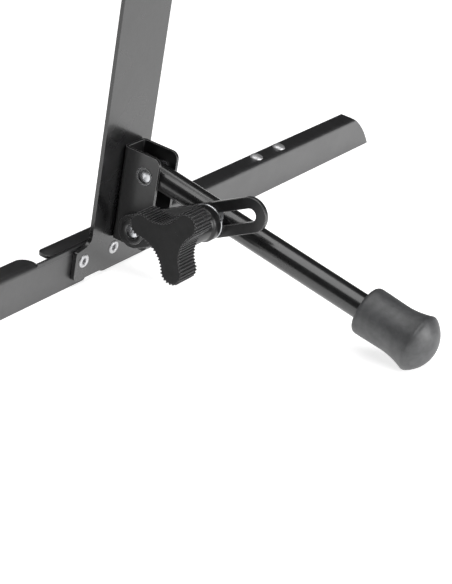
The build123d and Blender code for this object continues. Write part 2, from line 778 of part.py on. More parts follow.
# Upper arms, behind the upright's head, each with its washer and a rivet countersunk at the front
for ending, side in (("left", -1), ("right", 1)):
    with BuildPart() as upper_arm:
        with BuildSketch(front_plane(upper_arm_back, side * upper_rivet_x, upper_rivet_up)):
            with Locations((side * (upper_arm_length - upper_arm_width / 2) / 2, 0)):
                SlotCenterToCenter(upper_arm_length - upper_arm_width / 2, upper_arm_width)
            Circle(rivet_radius + running_fit, mode=Mode.SUBTRACT)
        extrude(amount=-upper_arm_sheet)
    upper_arm.part.label = f"upper_arm_{ending}"
    export_step(upper_arm.part, f"parts/upper_arm_{ending}.step")

    with BuildPart() as upper_washer:
        with BuildSketch(front_plane(0, side * upper_rivet_x, upper_rivet_up)):
            Circle(washer_radius)
            Circle(rivet_radius, mode=Mode.SUBTRACT)
        extrude(amount=-washer_sheet)
    upper_washer.part.label = f"upper_washer_{ending}"
    export_step(upper_washer.part, f"parts/upper_washer_{ending}.step")

    with BuildPart() as upper_rivet:
        roll_at = upper_arm_back + upper_arm_sheet + running_fit
        with BuildSketch(side_plane(side * upper_rivet_x, up=upper_rivet_up)):
            with BuildLine():
                Polyline(
                    (-upright_sheet, 0),
                    (-upright_sheet, rivet_radius + countersink_depth),
                    (-upright_sheet + countersink_depth, rivet_radius),
                    (roll_at, rivet_radius),
                    (roll_at, rivet_roll_radius),
                    (roll_at + rivet_roll / 2, rivet_roll_radius),
                    (roll_at + rivet_roll, rivet_roll_radius - rivet_roll / 2),
                    (roll_at + rivet_roll, rivet_bore + rivet_roll / 2),
                    (roll_at + rivet_roll / 2, rivet_bore),
                    (roll_at - rivet_bore_depth, rivet_bore),
                    (roll_at - rivet_bore_depth, 0),
                    (-upright_sheet, 0),
                )
            make_face()
        revolve(axis=Axis(desk_point(side * upper_rivet_x, 0, upper_rivet_up), desk.y_dir))
    upper_rivet.part.label = f"upper_rivet_{ending}"
    export_step(upper_rivet.part, f"parts/upper_rivet_{ending}.step")
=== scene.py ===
import json
import math

import bpy
import numpy as np
from mathutils import Matrix, Vector

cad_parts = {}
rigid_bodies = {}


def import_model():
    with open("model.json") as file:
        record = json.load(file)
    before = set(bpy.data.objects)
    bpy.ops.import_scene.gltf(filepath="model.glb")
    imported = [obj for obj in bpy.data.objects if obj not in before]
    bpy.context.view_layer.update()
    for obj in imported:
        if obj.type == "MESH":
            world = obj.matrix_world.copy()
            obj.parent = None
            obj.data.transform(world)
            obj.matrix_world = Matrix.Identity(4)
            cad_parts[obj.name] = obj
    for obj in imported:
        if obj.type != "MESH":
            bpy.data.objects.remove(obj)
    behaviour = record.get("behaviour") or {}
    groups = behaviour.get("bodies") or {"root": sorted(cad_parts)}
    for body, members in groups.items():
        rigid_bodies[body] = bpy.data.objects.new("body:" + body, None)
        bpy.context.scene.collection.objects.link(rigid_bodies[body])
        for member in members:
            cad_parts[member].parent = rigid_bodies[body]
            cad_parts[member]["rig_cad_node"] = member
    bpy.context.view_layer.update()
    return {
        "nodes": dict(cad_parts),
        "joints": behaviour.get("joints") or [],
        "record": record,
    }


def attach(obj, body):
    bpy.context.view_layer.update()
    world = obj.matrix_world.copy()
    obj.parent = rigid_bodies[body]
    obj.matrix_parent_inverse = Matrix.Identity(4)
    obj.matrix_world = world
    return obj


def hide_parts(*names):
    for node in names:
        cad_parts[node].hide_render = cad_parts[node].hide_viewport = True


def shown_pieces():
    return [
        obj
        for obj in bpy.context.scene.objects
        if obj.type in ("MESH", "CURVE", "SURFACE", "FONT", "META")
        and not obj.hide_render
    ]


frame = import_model()
mm = 0.001
joints = {j["name"]: j for j in frame["joints"]}
print("frame loaded:", len(frame["nodes"]), "nodes")

# The desk's own directions, read from the joints: across is the player's right, behind points away
# from the player, up runs up the upright. A place is (across, behind, up) in mm from the desk's origin.
desk = {
    "legPinBehind": 13.3,
    "legPinUp": 55.8,
    "legDroop": 9.26,  # degrees below square to the desk
    "clampAlong": 39.15,  # from the leg pin to the clamp screw
}
across = Vector((1, 0, 0))
behind = Vector(joints["ledge_fold_left"]["axis"]).normalized()
up = across.cross(behind)
legPin = Vector(joints["leg_swing"]["pos_m"])
origin = legPin - behind * desk["legPinBehind"] * mm - up * desk["legPinUp"] * mm
origin.x = 0
droop = math.radians(desk["legDroop"])
alongLeg = behind * math.cos(droop) - up * math.sin(droop)
clampPoint = legPin + alongLeg * desk["clampAlong"] * mm


def deskPoint(x, n, v):
    return origin + (across * x + behind * n + up * v) * mm


# Meshes from numpy arrays
def meshObject(name, points, faces, body, material, slotName, smoothAngle=40):
    mesh = bpy.data.meshes.new(name)
    mesh.from_pydata(points.tolist(), [], faces)
    mesh.update()
    mesh.shade_smooth()
    mesh.set_sharp_from_angle(angle=math.radians(smoothAngle))
    thing = bpy.data.objects.new(name, mesh)
    bpy.context.scene.collection.objects.link(thing)
    mesh.materials.append(material)
    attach(thing, body)
    return thing


def arc(centreAlong, centreOut, radius, startDegrees, endDegrees, steps):
    # points on a circle: centre + radius * (cos a, sin a), for a from start to end
    a = np.radians(np.linspace(startDegrees, endDegrees, steps))
    return np.column_stack([centreAlong + radius * np.cos(a), centreOut + radius * np.sin(a)])


def turned(start, axis, profile, segments, closed=False):
    # a profile of (along, out) turned round an axis: start + axis * along + out * (e1 cos t + e2 sin t)
    axis = np.array(axis, float) / np.linalg.norm(axis)
    side = np.array([0.0, 0.0, 1.0]) if abs(axis[2]) < 0.9 else np.array([1.0, 0.0, 0.0])
    first = np.cross(axis, side)
    first /= np.linalg.norm(first)
    second = np.cross(axis, first)
    t = np.linspace(0, 2 * math.pi, segments, endpoint=False)
    ring = np.outer(np.cos(t), first) + np.outer(np.sin(t), second)
    profile = np.asarray(profile, float) * mm
    body = profile if closed else profile[1:-1]
    grid = np.array(start, float) + body[:, None, :1] * axis + body[:, None, 1:] * ring[None]
    rows = len(body)
    points = grid.reshape(-1, 3)
    faces = gridFaces(rows, segments, closed)
    if not closed:
        ends = np.array(start, float) + profile[[0, -1], :1] * axis
        points = np.vstack([points, ends])
        faces += poleFaces(rows, segments, len(points) - 2, len(points) - 1)
    return points, faces


def gridFaces(rows, segments, closed):
    # quads between neighbouring rows and neighbouring places round each row
    i, j = np.meshgrid(np.arange(rows if closed else rows - 1), np.arange(segments), indexing="ij")
    below, beside = (i + 1) % rows, (j + 1) % segments
    corners = [i * segments + j, i * segments + beside, below * segments + beside, below * segments + j]
    return np.stack(corners, -1).reshape(-1, 4).tolist()


def poleFaces(rows, segments, firstPole, lastPole):
    j = np.arange(segments)
    k = (j + 1) % segments
    last = (rows - 1) * segments
    start = np.stack([np.full(segments, firstPole), k, j], -1)
    end = np.stack([np.full(segments, lastPole), last + j, last + k], -1)
    return start.tolist() + end.tolist()


def cappedFaces(rows, around):
    # stacked rows closed by a pole at each end, whose two points come after all the rows
    poles = rows * around
    return gridFaces(rows, around, False) + poleFaces(rows, around, poles, poles + 1)


def flipped(points, faces):
    # each face's corners in the other order, which also settles how its quads split into triangles
    return points, [face[::-1] for face in faces]


def joined(*parts):
    points, faces, offset = [], [], 0
    for p, f in parts:
        points.append(p)
        faces += [[i + offset for i in face] for face in f]
        offset += len(p)
    return np.vstack(points), faces


# Finishes
finishes = {
    # each black's edge colour is a painted highlight along its edges, as wide as its edge radius
    "satinBlack": {
        "colour": (0.0075, 0.0075, 0.0079), "rough": (0.24, 0.34), "coat": 0.55, "coatRough": 0.12,
        "specular": 0.62, "peel": 0.05, "peelScale": 700, "edge": 0.00025,
        "edgeHighlightColour": (0.09, 0.09, 0.093),
    },
    # ledgeBlack is satinBlack's paint in a paler tone: a painted reflection that lightens the ledge arms
    # against the upright
    "ledgeBlack": {
        "colour": (0.0125, 0.0125, 0.0132), "rough": (0.38, 0.46), "coat": 0.55, "coatRough": 0.30,
        "specular": 0.66, "peel": 0.05, "peelScale": 700, "edge": 0.0005,
        "edgeHighlightColour": (0.17, 0.17, 0.175),
    },
    # the black with the brightest painted edge highlight, for the bracket, the link and the rings round the
    # pin and rivet ends
    "edgeHighlightBlack": {
        "colour": (0.0095, 0.0095, 0.0100), "rough": (0.26, 0.40), "coat": 0.35, "coatRough": 0.18,
        "specular": 0.55, "peel": 0.07, "peelScale": 600, "edge": 0.00035,
        "edgeHighlightColour": (0.45, 0.45, 0.45),
    },
    "mattePlastic": {
        "colour": (0.0070, 0.0070, 0.0074), "rough": (0.48, 0.60), "coat": 0.0, "coatRough": 0.3,
        "specular": 0.28, "peel": 0.10, "peelScale": 1500, "edge": 0.00045,
        "edgeHighlightColour": (0.30, 0.30, 0.305),
    },
    "hubPlastic": {
        "colour": (0.0090, 0.0090, 0.0094), "rough": (0.27, 0.35), "coat": 0.0, "coatRough": 0.3,
        "specular": 0.44, "peel": 0.06, "peelScale": 1500, "edge": 0.0003,
        "edgeHighlightColour": (0.12, 0.12, 0.125),
    },
    # no painted edge highlight on rubber, so it needs no highlight colour
    "footRubber": {
        "colour": (0.056, 0.057, 0.059), "rough": (0.40, 0.56), "coat": 0.0, "coatRough": 0.3,
        "specular": 0.66, "peel": 0.14, "peelScale": 1100, "edge": 0.0,
    },
    "brightZinc": {"colour": (0.60, 0.61, 0.63), "rough": (0.20, 0.36), "peel": 0.03},
    "satinZinc": {"colour": (0.62, 0.62, 0.63), "rough": (0.46, 0.58), "peel": 0.04},
    "darkZinc": {"colour": (0.30, 0.30, 0.31), "rough": (0.26, 0.42), "peel": 0.03},
}


def blackFinish(name):
    # a dark coat whose gloss drifts a little, with a fine skin texture and a painted highlight along its
    # edges
    f = finishes[name]
    material = bpy.data.materials.new(name)
    material.use_nodes = True
    nodes, links = material.node_tree.nodes, material.node_tree.links
    shader = nodes["Principled BSDF"]
    place = nodes.new("ShaderNodeTexCoord")
    shader.inputs["Metallic"].default_value = 0.0
    shader.inputs["Specular IOR Level"].default_value = f["specular"]
    shader.inputs["Coat Weight"].default_value = f["coat"]
    shader.inputs["Coat Roughness"].default_value = f["coatRough"]
    drift = nodes.new("ShaderNodeTexNoise")
    drift.inputs["Scale"].default_value = 55
    drift.inputs["Detail"].default_value = 5
    links.new(place.outputs["Object"], drift.inputs["Vector"])
    rough = nodes.new("ShaderNodeMapRange")
    rough.inputs["From Min"].default_value = 0.3
    rough.inputs["From Max"].default_value = 0.7
    rough.inputs["To Min"].default_value, rough.inputs["To Max"].default_value = f["rough"]
    links.new(drift.outputs["Fac"], rough.inputs["Value"])
    links.new(rough.outputs["Result"], shader.inputs["Roughness"])
    mottle = nodes.new("ShaderNodeTexNoise")
    mottle.inputs["Scale"].default_value = 320
    mottle.inputs["Detail"].default_value = 7
    links.new(place.outputs["Object"], mottle.inputs["Vector"])
    tones = nodes.new("ShaderNodeValToRGB")
    tones.color_ramp.elements[0].position = 0.32
    tones.color_ramp.elements[1].position = 0.70
    tones.color_ramp.elements[0].color = (*[c * 0.80 for c in f["colour"]], 1)
    tones.color_ramp.elements[1].color = (*[c * 1.30 for c in f["colour"]], 1)
    links.new(mottle.outputs["Fac"], tones.inputs["Fac"])
    skin = nodes.new("ShaderNodeTexNoise")
    skin.inputs["Scale"].default_value = f["peelScale"]
    skin.inputs["Detail"].default_value = 3
    links.new(place.outputs["Object"], skin.inputs["Vector"])
    bump = nodes.new("ShaderNodeBump")
    bump.inputs["Strength"].default_value = f["peel"]
    bump.inputs["Distance"].default_value = 0.0004
    links.new(skin.outputs["Fac"], bump.inputs["Height"])
    links.new(bump.outputs["Normal"], shader.inputs["Normal"])
    if f["edge"]:
        # where the rounded normal leaves the flat one, the edge colour is mixed in: a painted highlight along
        # the edge
        rounded = nodes.new("ShaderNodeBevel")
        rounded.samples = 6
        rounded.inputs["Radius"].default_value = f["edge"]
        links.new(rounded.outputs["Normal"], bump.inputs["Normal"])
        flat = nodes.new("ShaderNodeNewGeometry")
        likeness = nodes.new("ShaderNodeVectorMath")
        likeness.operation = "DOT_PRODUCT"
        links.new(rounded.outputs["Normal"], likeness.inputs[0])
        links.new(flat.outputs["Normal"], likeness.inputs[1])
        edgeHighlight = nodes.new("ShaderNodeMapRange")
        edgeHighlight.inputs["From Min"].default_value = 0.99
        edgeHighlight.inputs["From Max"].default_value = 0.80
        links.new(likeness.outputs["Value"], edgeHighlight.inputs["Value"])
        mix = nodes.new("ShaderNodeMix")
        mix.data_type = "RGBA"
        links.new(edgeHighlight.outputs["Result"], mix.inputs["Factor"])
        links.new(tones.outputs["Color"], mix.inputs["A"])
        mix.inputs["B"].default_value = (*f["edgeHighlightColour"], 1)
        links.new(mix.outputs["Result"], shader.inputs["Base Color"])
    else:
        links.new(tones.outputs["Color"], shader.inputs["Base Color"])
    return material


def zincFinish(name):
    # bright plating: a cloudy gloss and short drawn scratches
    f = finishes[name]
    material = bpy.data.materials.new(name)
    material.use_nodes = True
    nodes, links = material.node_tree.nodes, material.node_tree.links
    shader = nodes["Principled BSDF"]
    shader.inputs["Metallic"].default_value = 1.0
    place = nodes.new("ShaderNodeTexCoord")
    cloud = nodes.new("ShaderNodeTexNoise")
    cloud.inputs["Scale"].default_value = 420
    cloud.inputs["Detail"].default_value = 6
    links.new(place.outputs["Object"], cloud.inputs["Vector"])
    rough = nodes.new("ShaderNodeMapRange")
    rough.inputs["To Min"].default_value, rough.inputs["To Max"].default_value = f["rough"]
    links.new(cloud.outputs["Fac"], rough.inputs["Value"])
    links.new(rough.outputs["Result"], shader.inputs["Roughness"])
    tones = nodes.new("ShaderNodeValToRGB")
    tones.color_ramp.elements[0].position = 0.30
    tones.color_ramp.elements[1].position = 0.72
    tones.color_ramp.elements[0].color = (*[c * 0.82 for c in f["colour"]], 1)
    tones.color_ramp.elements[1].color = (*[min(1, c * 1.12) for c in f["colour"]], 1)
    links.new(cloud.outputs["Fac"], tones.inputs["Fac"])
    links.new(tones.outputs["Color"], shader.inputs["Base Color"])
    drawn = nodes.new("ShaderNodeMapping")
    drawn.inputs["Scale"].default_value = (300, 2600, 2600)
    links.new(place.outputs["Object"], drawn.inputs["Vector"])
    scratch = nodes.new("ShaderNodeTexNoise")
    scratch.inputs["Scale"].default_value = 1
    scratch.inputs["Detail"].default_value = 2
    links.new(drawn.outputs["Vector"], scratch.inputs["Vector"])
    bump = nodes.new("ShaderNodeBump")
    bump.inputs["Strength"].default_value = f["peel"]
    bump.inputs["Distance"].default_value = 0.0003
    links.new(scratch.outputs["Fac"], bump.inputs["Height"])
    links.new(bump.outputs["Normal"], shader.inputs["Normal"])
    return material


satinBlack = blackFinish("satinBlack")
ledgeBlack = blackFinish("ledgeBlack")
edgeHighlightBlack = blackFinish("edgeHighlightBlack")
mattePlastic = blackFinish("mattePlastic")
hubPlastic = blackFinish("hubPlastic")
footRubber = blackFinish("footRubber")
brightZinc = zincFinish("brightZinc")
satinZinc = zincFinish("satinZinc")
darkZinc = zincFinish("darkZinc")
bySlot = {
    "black_paint": satinBlack,
    "zinc": brightZinc,
    "knob_plastic": mattePlastic,
    "foot_rubber": footRubber,
}
ownFinish = {
    "link_washer": darkZinc,
    "clamp_screw": darkZinc,
    "hinge_bracket": edgeHighlightBlack,
    "slotted_link": edgeHighlightBlack,
    "ledge_arm_left": ledgeBlack,
    "ledge_arm_right": ledgeBlack,
}
slotOf = {row["node"]: row["material_slot"] for row in frame["record"]["subparts"]}
for name, node in frame["nodes"].items():
    node.data.materials.clear()
    node.data.materials.append(ownFinish.get(name, bySlot[slotOf[name]]))
print("finishes on", len(frame["nodes"]), "nodes")

# Rubber foot: a moulded cap with a soft lip, a slight waist, a flared rim and a domed end
footCap = {
    "tube": 6.0, "tubeEnd": 142.0, "start": 119.8, "collar": 11.3, "collarRound": 2.5, "lip": 0.5,
    "waist": 11.05, "body": 15.7, "flare": 12.9, "rim": 13.5, "dome": 8.1,
    "bore": 6.02,  # a hair wider than the tube
}


def buildFootCap(c):
    s0, s1 = c["start"], c["start"] + c["body"]
    s2 = s1 + c["flare"]
    rise = c["rim"] - c["waist"]
    flareRadius = (c["flare"] ** 2 + rise ** 2) / (2 * rise)
    sweep = math.degrees(math.atan2(c["flare"], flareRadius - rise))
    domeRadius = (c["rim"] ** 2 + c["dome"] ** 2) / (2 * c["dome"])
    domeCentre = s2 + c["dome"] - domeRadius
    domeOpens = math.degrees(math.asin(c["rim"] / domeRadius))
    lip = arc(s0 + c["lip"], c["tube"] + c["lip"] + 0.05, c["lip"], 270, 180, 5)
    collar = arc(s0 + c["collarRound"], c["collar"] - c["collarRound"], c["collarRound"], 180, 90, 12)
    s = np.linspace(s0 + c["collarRound"] + 1, s1, 8)
    wall = np.column_stack([s, np.interp(s, [s0 + 2 * c["collarRound"], s1], [c["collar"], c["waist"]])])
    flare = arc(s1, c["waist"] + flareRadius, flareRadius, -90, -90 + sweep, 16)
    dome = arc(domeCentre, 0, domeRadius, domeOpens, 0, 26)
    outer = np.vstack([lip, collar, wall, flare[1:-1]])
    # the rim: a quadratic bend that starts short of the flare's end and ends past the dome's start
    a, b, corner = flare[-2], dome[2], flare[-1]
    t = np.linspace(0, 1, 13)[1:-1, None]
    bend = (1 - t) ** 2 * a + 2 * t * (1 - t) * corner + t ** 2 * b
    inside = np.array([[c["tubeEnd"], 0.0], [c["tubeEnd"], c["bore"]], [s0 + c["lip"], c["bore"]]])
    return np.vstack([inside, outer, bend, dome[2:]])


footShape = turned(legPin, alongLeg, buildFootCap(footCap), 128)
foot = meshObject("foot_cap", *footShape, "leg", footRubber, "foot_rubber")
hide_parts("leg_end_cap")
print("foot cap built")

# Clamp knob: three lobes with ribbed sides on a stepped hub
knob = {
    "hubX": 6.95, "collar": 8.3, "collarLong": 4.2, "cone": 1.4, "hub": 7.2, "hubLong": 18.8,
    "thick": 12.0, "lobes": 3, "reach": 14.2, "tip": 5.0, "valley": 7.9, "turn": 171.5,
    "ribs": 72, "ribHigh": 0.74, "crest": 0.16, "foot": 0.62, "perRib": 14, "perArc": 200,
    "edge": 0.35, "side": 3.0,  # the rounded edge, and the plain side beyond it
    "backInset": 2.5, "frontInset": 1.2, "dishInset": 3.2, "dish": 0.08,  # the flat faces, inwards
}


def knobOutline(k):
    # each lobe's tip is an arc, each valley an arc tangent to the two tips beside it; places are
    # taken at even distances round the whole outline, with the outward normal at each
    half = math.pi / k["lobes"]
    gap = k["valley"] - k["reach"] * math.cos(half)
    hollow = ((k["reach"] * math.sin(half)) ** 2 + gap ** 2 - k["tip"] ** 2) / (2 * (k["tip"] - gap))
    far = k["valley"] + hollow
    beta = math.atan2(far * math.sin(half), far * math.cos(half) - k["reach"])
    places, normals = [], []
    for lobe in range(k["lobes"]):
        turn = 2 * half * lobe
        a = np.linspace(-beta, beta, k["perArc"], endpoint=False) + turn
        out = np.column_stack([np.cos(a), np.sin(a)])
        places.append(k["reach"] * np.array([math.cos(turn), math.sin(turn)]) + k["tip"] * out)
        normals.append(out)
        a = np.linspace(beta + math.pi, 2 * half + math.pi - beta, k["perArc"], endpoint=False) + turn
        away = np.column_stack([np.cos(a), np.sin(a)])
        places.append(far * np.array([math.cos(turn + half), math.sin(turn + half)]) + hollow * away)
        normals.append(-away)
    places, normals = np.vstack(places), np.vstack(normals)
    closedPlaces = np.vstack([places, places[:1]])
    closedNormals = np.vstack([normals, normals[:1]])
    step = np.hypot(*np.diff(closedPlaces, axis=0).T)
    along = np.concatenate([[0], np.cumsum(step)])
    s = np.linspace(0, along[-1], k["ribs"] * k["perRib"], endpoint=False)
    place = np.column_stack([np.interp(s, along, closedPlaces[:, i]) for i in (0, 1)])
    normal = np.column_stack([np.interp(s, along, closedNormals[:, i]) for i in (0, 1)])
    return place, normal / np.linalg.norm(normal, axis=1)[:, None], s, along[-1]


def buildLobes(k):
    # the outline carried from the back face to the front face; each rib rises as a smooth step
    place, normal, s, whole = knobOutline(k)
    pitch = whole / k["ribs"]
    fromCrest = np.abs((s / pitch) % 1 - 0.5) * pitch
    t = np.clip((fromCrest - k["crest"]) / (k["foot"] - k["crest"]), 0, 1)
    rib = k["ribHigh"] * (1 - t * t * (3 - 2 * t))
    back = k["hubX"] + k["hubLong"]
    front = back + k["thick"]
    e = k["edge"]
    # (x, how far the outline is drawn in), from the back face's middle to the front face's
    levels = [
        (back, k["backInset"]), (back, e), (back + 0.3 * e, 0.3 * e), (back + e, 0), (back + k["side"], 0),
        (front - k["side"], 0), (front - e, 0), (front - 0.3 * e, 0.3 * e), (front, e),
        (front, k["frontInset"]), (front - k["dish"], k["dishInset"]),
    ]
    axisAt = np.array(clampPoint) * [0, 1, 1]
    turn = math.radians(k["turn"])
    n = behind * math.cos(turn) + up * math.sin(turn)
    v = across.cross(n)
    rows = []
    for x, inset in levels:
        flat = place + normal * (rib * (1 if inset < 1 else 0) - inset)[:, None]
        spread = (np.outer(flat[:, 0], n) + np.outer(flat[:, 1], v)) * mm
        rows.append(axisAt + np.array([x * mm, 0, 0]) + spread)
    poles = np.array([axisAt + np.array([x * mm, 0, 0]) for x in (back, front - k["dish"])])
    return flipped(np.vstack(rows + [poles]), cappedFaces(len(rows), len(place)))


def buildHub(k):
    x0, x1 = k["hubX"], k["hubX"] + k["hubLong"] + 2
    step = x0 + k["collarLong"]
    coneEnd = step + k["cone"]
    profile = [
        (x0, 0), (x0, k["collar"] - 0.5), (x0 + 0.15, k["collar"] - 0.15), (x0 + 0.5, k["collar"]),
        (step - 0.3, k["collar"]), (step, k["collar"] - 0.12),
        (step + k["cone"] * 0.5, (k["collar"] + k["hub"]) / 2), (coneEnd, k["hub"] + 0.08),
        (coneEnd + 0.6, k["hub"]), (x1, k["hub"]), (x1, 0),
    ]
    return turned(np.array(clampPoint) * [0, 1, 1], across, profile, 96)


knobPiece = meshObject("knob_lobes", *buildLobes(knob), "knob", mattePlastic, "knob_plastic", 35)
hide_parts("clamp_knob")
meshObject("knob_hub", *buildHub(knob), "knob", hubPlastic, "knob_plastic", 35)
print("knob built")

# Rolled rivet ends, domed pins and domed heads
rivet = {
    "roll": 3.3, "bore": 1.35, "high": 0.75, "deep": 3.0, "shank": 2.5, "head": 4.6, "headHigh": 1.0,
    "sink": 1.2,  # depth and spread of a countersunk head
    "ledge": {"x": {"left": 0.0, "right": 22.5}, "up": 12.9, "front": -3.9, "roll": 0.0},
    "upper": {"x": {"left": -24.0, "right": 24.0}, "up": 241.3, "front": -2.0, "roll": 1.9},
}
page = {
    "x": {"left": -142.8, "right": 142.8}, "pitch": 22.0, "ahead": 7.5, "top": 20.5, "head": 3.5,
    "high": 1.7, "shank": 1.6, "under": 17.8, "tail": 2.6, "tailHigh": 0.8, "tailEdge": 0.3,
}


def rolledRivet(r, at, rollAt, flush):
    # (behind, out) from the front head, along the shank, over the rolled lip and down into the hollow
    lipMiddle = (r["roll"] + r["bore"]) / 2
    lipWide = (r["roll"] - r["bore"]) / 2
    a = np.radians(np.linspace(0, 180, 15))
    lip = np.column_stack([rollAt + r["high"] * np.sin(a), lipMiddle + lipWide * np.cos(a)])
    if flush:
        head = np.array([(at, 0), (at, r["shank"] + r["sink"]), (at + r["sink"], r["shank"])])
    else:
        h = r["headHigh"]
        b = np.radians([88, 70, 50, 30, 12])
        crown = np.column_stack([at - h * np.sin(b) ** 0.7, r["head"] * np.cos(b)])
        head = np.array([(at - h, 0), *crown, (at, r["head"]), (at, r["shank"])])
    end = rollAt - r["deep"]
    return np.vstack([head, [(rollAt, r["shank"]), (rollAt, r["roll"])], lip[1:-1],
                      [(rollAt, r["bore"]), (end + 0.3, r["bore"] * 0.92), (end, r["bore"] * 0.6), (end, 0)]])


def domedRivet(p):
    # (up, out): a quarter of an ellipse over the ledge, the shank, and a small clinched tail below
    a = np.radians(np.linspace(90, 0, 12))
    dome = np.column_stack([p["top"] + p["high"] * np.sin(a), p["head"] * np.cos(a)])
    tail, e = p["under"] - p["tailHigh"], p["tailEdge"]
    return np.vstack([dome, [(p["top"], p["shank"]), (p["under"], p["shank"]), (p["under"], p["tail"]),
                             (tail + e, p["tail"]), (tail, p["tail"] - e), (tail, 0)]])


def rivetAt(place, side, flush):
    start = deskPoint(place["x"][side], 0, place["up"])
    return flipped(*turned(start, behind, rolledRivet(rivet, place["front"], place["roll"], flush), 64))


for side in ("left", "right"):
    piece = meshObject(f"rolled_rivet_{side}", *rivetAt(rivet["ledge"], side, False), "base", satinZinc,
                       "zinc", 50)
    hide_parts(f"ledge_rivet_{side}")
    piece = meshObject(f"head_rivet_{side}", *rivetAt(rivet["upper"], side, True), "base", brightZinc,
                       "zinc", 50)
    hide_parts(f"upper_rivet_{side}")
    places = [deskPoint(page["x"][side] + s * page["pitch"] / 2, -page["ahead"], 0) for s in (-1, 1)]
    pair = [turned(place, up, domedRivet(page), 48) for place in places]
    piece = meshObject(f"holder_rivets_{side}", *joined(*pair), f"ledge_{side}", satinZinc, "zinc", 50)
    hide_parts(f"page_bracket_rivets_{side}")

pin = {
    "x": -4.4, "behind": desk["legPinBehind"], "up": desk["legPinUp"], "out": 7.7, "radius": 4.08,
    "mouth": 3.25, "round": 7.2, "sunk": 0.58, "rim": 0.3, "paint": 0.06, "darkDeep": 0.8,
}
link = {
    "behind": 12.8, "up": 28.0, "inner": 0.8, "head": 6.0, "headEdge": 0.3, "plate": 1.8, "end": 5.65,
    "stake": 0.4, "ring": 6.2, "ringHigh": 0.32, "ringDeep": 0.8,
}


def pinEnd(end, way, p):
    # half the section of a pin's end: a rim, then a low dome that starts sunk below it, from the rim inwards
    r = np.linspace(p["mouth"], 0, 12)
    rise = np.sqrt(p["round"] ** 2 - r ** 2) - math.sqrt(p["round"] ** 2 - p["mouth"] ** 2) - p["sunk"]
    return [(end, p["mouth"] + p["rim"]), *zip((end + rise * way).tolist(), r.tolist())]


def darkRing(place, end, way, p):
    # a black ring round a pin's bright end, down to the foot of its dome
    e = end + p["paint"] * way
    low = end - p["darkDeep"] * way
    inner, outer = p["mouth"], p["radius"]
    profile = [(low, inner - 0.1), (e, inner + 0.18), (e, outer - 0.1), (low, outer - 0.02)]
    return turned(place, across, profile if way > 0 else profile[::-1], 72, closed=True)


pinPlace = deskPoint(pin["x"], pin["behind"], pin["up"])
ends = {way: pin["out"] * way for way in (-1, 1)}
pinSides = [(ends[-1], pin["radius"]), (ends[1], pin["radius"])]
pinProfile = pinEnd(ends[-1], -1, pin)[::-1] + pinSides + pinEnd(ends[1], 1, pin)
legPinPiece = meshObject("domed_pin", *turned(pinPlace, across, pinProfile, 72), "base", brightZinc, "zinc")
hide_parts("leg_pin")
darkRings = [darkRing(pinPlace, ends[way], way, pin) for way in (-1, 1)]
meshObject("pin_dark_ring", *joined(*darkRings), "base", edgeHighlightBlack, "black_paint")
linkPlace = deskPoint(0, link["behind"], link["up"])
staked, headEdge = link["stake"], link["headEdge"]
rivetProfile = [
    (link["inner"], 0), (link["inner"], link["head"] - headEdge), (link["inner"] + headEdge, link["head"]),
    (link["plate"], link["head"]), (link["plate"], pin["radius"]), (link["end"] - staked, pin["radius"]),
    (link["end"], pin["radius"] + staked),
] + pinEnd(link["end"], 1, pin)
linkRivetPiece = meshObject("domed_rivet", *turned(linkPlace, across, rivetProfile, 72), "base", brightZinc,
                            "zinc")
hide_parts("link_rivet")
ringTop, ringFoot = link["end"] + link["ringHigh"], link["end"] + 0.03
ringProfile = [
    (link["end"] - link["ringDeep"], pin["mouth"] - 0.1), (link["end"] + 0.08, pin["mouth"] + 0.2),
    (ringTop, pin["mouth"] + 0.8), (ringTop, link["ring"] - 0.35), (ringTop - 0.15, link["ring"] - 0.08),
    (ringFoot, link["ring"]), (ringFoot, pin["radius"]), (link["end"] - 0.7, pin["radius"] - 0.2),
]
rivetRing = turned(linkPlace, across, ringProfile, 72, closed=True)
meshObject("rivet_paint", *rivetRing, "base", edgeHighlightBlack, "black_paint")
print("rivets and pins built")

# The left ledge's tongue: the strip that runs on in front of the right ledge's face
tongue = {
    "from": 6.0, "to": 44.23, "front": -11.33, "back": -4.05, "low": 18.97, "high": 20.53,
    "frontCorner": 3.2, "backCorner": 2.4, "edge": 0.15,
}


def buildTongue(t):
    # a flat strip: its outline, drawn in by a small rounded edge at top and bottom, and fanned to the middle
    front = arc(t["to"] - t["frontCorner"], t["front"] + t["frontCorner"], t["frontCorner"], -90, 0, 14)
    back = arc(t["to"] - t["backCorner"], t["back"] - t["backCorner"], t["backCorner"], 0, 90, 12)
    outline = np.vstack([front, back, [(t["from"], t["back"]), (t["from"], t["front"])]])
    middle = np.array([(t["from"] + t["to"]) / 2, (t["front"] + t["back"]) / 2])
    halves = np.array([(t["to"] - t["from"]) / 2, (t["back"] - t["front"]) / 2])
    e = t["edge"]
    low, high = t["low"], t["high"]
    levels = [(low, e), (low + 0.3 * e, 0.3 * e), (low + e, 0),
              (high - e, 0), (high - 0.3 * e, 0.3 * e), (high, e)]
    rows = []
    for v, inset in levels:
        flat = middle + (outline - middle) * (1 - inset / halves)
        spread = (np.outer(flat[:, 0], across) + np.outer(flat[:, 1], behind)) * mm
        rows.append(np.array(deskPoint(0, 0, v)) + spread)
    poles = np.array([deskPoint(*middle, v) for v in (low, high)])
    return np.vstack(rows + [poles]), cappedFaces(len(rows), len(outline))


meshObject("ledge_tongue", *buildTongue(tongue), "ledge_left", ledgeBlack, "black_paint", 50)

# The right ledge's face keeps its full height up to its inner end, behind the tongue
faceTop = {
    "from": 16.03, "to": 53.6, "low": 17.2, "high": 20.25, "front": -3.83, "back": -2.37, "edge": 0.2,
    "endTaper": 0.12, "endSize": 0.92,  # each end is drawn in a little
}


